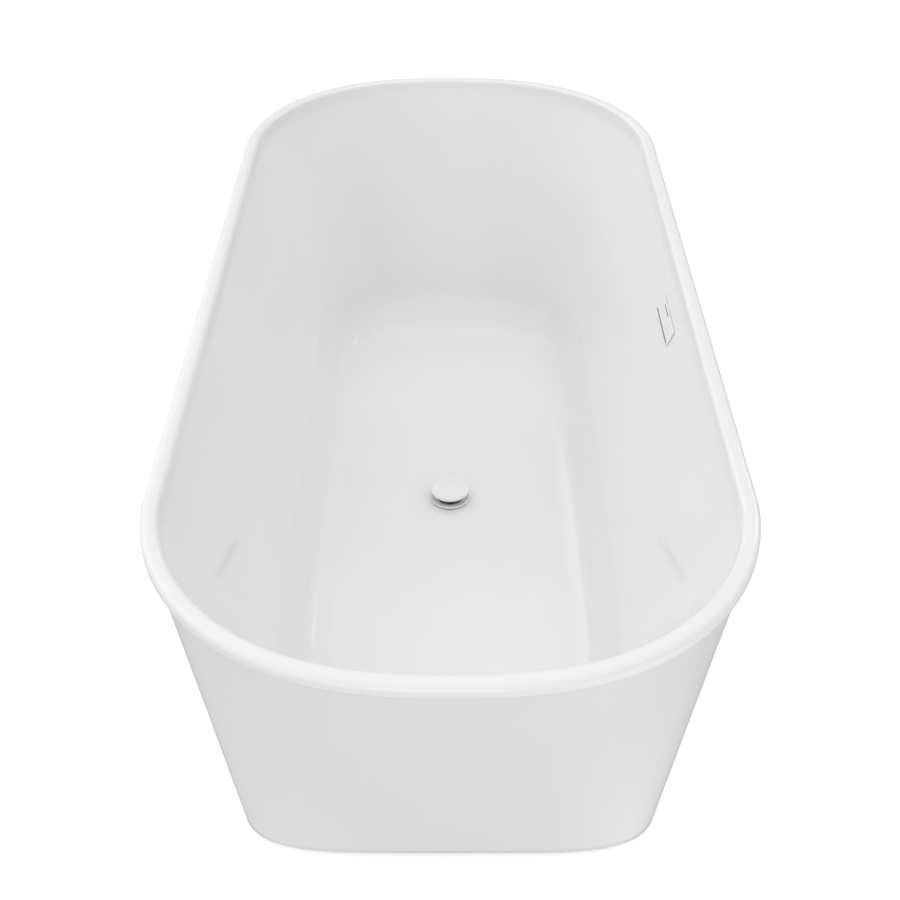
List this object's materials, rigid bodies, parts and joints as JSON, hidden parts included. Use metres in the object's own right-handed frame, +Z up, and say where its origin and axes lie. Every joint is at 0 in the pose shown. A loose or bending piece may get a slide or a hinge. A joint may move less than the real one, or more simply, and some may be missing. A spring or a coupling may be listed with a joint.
{
  "type": "freestanding bathtub",
  "caption": "Oval-ended white acrylic freestanding bathtub with tapered skirt, slim rolled rim, centre pop-up waste, side slot overflow and a steel frame on levelling feet.",
  "frame": {"origin": "on the floor, under the middle of the bath (bottom centre of its bounding box)", "axes": "+Z up, +Y along the bath, +X towards the long wall that carries the overflow"},
  "size_m": [0.78, 1.7, 0.58],
  "materials": {
    "acrylic_white": "high gloss sanitary acrylic",
    "sealant_white": "bonding bead, satin",
    "plywood": "raw birch plywood",
    "zinc_steel": "zinc plated",
    "nut_steel": "plated nut",
    "foot_nylon": "moulded nylon",
    "white_enamel": "gloss white enamel over brass",
    "brass": "turned brass",
    "black_rubber": "matt rubber",
    "pale_silicone": "pale silicone, satin",
    "white_pipe": "satin moulded",
    "grey_pipe": "satin moulded",
    "spring_steel": "drawn wire"
  },
  "bodies": {
    "tub": {"basin_shell": "acrylic_white", "outer_skirt": "acrylic_white", "rim_bond_bead": "sealant_white", "floor_board": "plywood", "frame_rail_left": "zinc_steel", "frame_rail_right": "zinc_steel", "frame_crossbar_front": "zinc_steel", "frame_crossbar_mid_front": "zinc_steel", "frame_crossbar_mid_rear": "zinc_steel", "frame_crossbar_rear": "zinc_steel", "board_screw_left_1": "zinc_steel", "board_screw_left_2": "zinc_steel", "board_screw_left_3": "zinc_steel", "board_screw_left_4": "zinc_steel", "board_screw_right_1": "zinc_steel", "board_screw_right_2": "zinc_steel", "board_screw_right_3": "zinc_steel", "board_screw_right_4": "zinc_steel", "foot_weld_nut_front_left": "nut_steel", "foot_weld_nut_front_right": "nut_steel", "foot_weld_nut_rear_left": "nut_steel", "foot_weld_nut_rear_right": "nut_steel", "foot_lock_nut_front_left": "nut_steel", "foot_lock_nut_front_right": "nut_steel", "foot_lock_nut_rear_left": "nut_steel", "foot_lock_nut_rear_right": "nut_steel", "drain_flange": "white_enamel", "flange_gasket": "black_rubber", "cartridge_post": "brass", "stopper_spring": "spring_steel", "waste_gasket": "black_rubber", "waste_back_nut": "brass", "waste_body": "white_pipe", "tail_gasket": "black_rubber", "tail_nut": "white_pipe", "outlet_tailpiece": "white_pipe", "overflow_cover": "acrylic_white", "overflow_gasket": "black_rubber", "overflow_housing": "grey_pipe", "overflow_hose": "grey_pipe", "hose_nut_top": "white_pipe", "hose_nut_bottom": "white_pipe"},
    "stopper": {"stopper_cap": "white_enamel", "stopper_seal": "pale_silicone", "stopper_stem": "brass"},
    "pad_front_left": {"foot_pad_front_left": "foot_nylon"},
    "pad_front_right": {"foot_pad_front_right": "foot_nylon"},
    "pad_rear_left": {"foot_pad_rear_left": "foot_nylon"},
    "pad_rear_right": {"foot_pad_rear_right": "foot_nylon"},
    "stud_front_left": {"foot_stud_front_left": "zinc_steel"},
    "stud_front_right": {"foot_stud_front_right": "zinc_steel"},
    "stud_rear_left": {"foot_stud_rear_left": "zinc_steel"},
    "stud_rear_right": {"foot_stud_rear_right": "zinc_steel"}
  },
  "joints": [
    {"name": "stopper_click", "type": "slide", "parent": "tub", "child": "stopper", "axis": [0, 0, 1], "range_m": [-0.0115, 0], "stiffness_N_per_m": 400, "springref_m": 0.008, "deforming": ["stopper_spring"]},
    {"name": "level_front_left", "type": "slide", "parent": "tub", "child": "pad_front_left", "axis": [0, 0, 1], "range_m": [-0.01, 0.008]},
    {"name": "level_front_right", "type": "slide", "parent": "tub", "child": "pad_front_right", "axis": [0, 0, 1], "range_m": [-0.01, 0.008]},
    {"name": "level_rear_left", "type": "slide", "parent": "tub", "child": "pad_rear_left", "axis": [0, 0, 1], "range_m": [-0.01, 0.008]},
    {"name": "level_rear_right", "type": "slide", "parent": "tub", "child": "pad_rear_right", "axis": [0, 0, 1], "range_m": [-0.01, 0.008]},
    {"name": "stud_turn_front_left", "type": "hinge", "parent": "pad_front_left", "child": "stud_front_left", "pos_m": [-0.165, -0.46, 0.06], "axis": [0, 0, 1], "range_deg": [-2058, 1647]},
    {"name": "stud_turn_front_right", "type": "hinge", "parent": "pad_front_right", "child": "stud_front_right", "pos_m": [0.165, -0.46, 0.06], "axis": [0, 0, 1], "range_deg": [-2058, 1647]},
    {"name": "stud_turn_rear_left", "type": "hinge", "parent": "pad_rear_left", "child": "stud_rear_left", "pos_m": [-0.165, 0.46, 0.06], "axis": [0, 0, 1], "range_deg": [-2058, 1647]},
    {"name": "stud_turn_rear_right", "type": "hinge", "parent": "pad_rear_right", "child": "stud_rear_right", "pos_m": [0.165, 0.46, 0.06], "axis": [0, 0, 1], "range_deg": [-2058, 1647]}
  ],
  "couplings": [
    {"joint": "stud_turn_front_left", "follows": "level_front_left", "rad_per_m": 3590.4},
    {"joint": "stud_turn_front_right", "follows": "level_front_right", "rad_per_m": 3590.4},
    {"joint": "stud_turn_rear_left", "follows": "level_rear_left", "rad_per_m": 3590.4},
    {"joint": "stud_turn_rear_right", "follows": "level_rear_right", "rad_per_m": 3590.4}
  ]
}
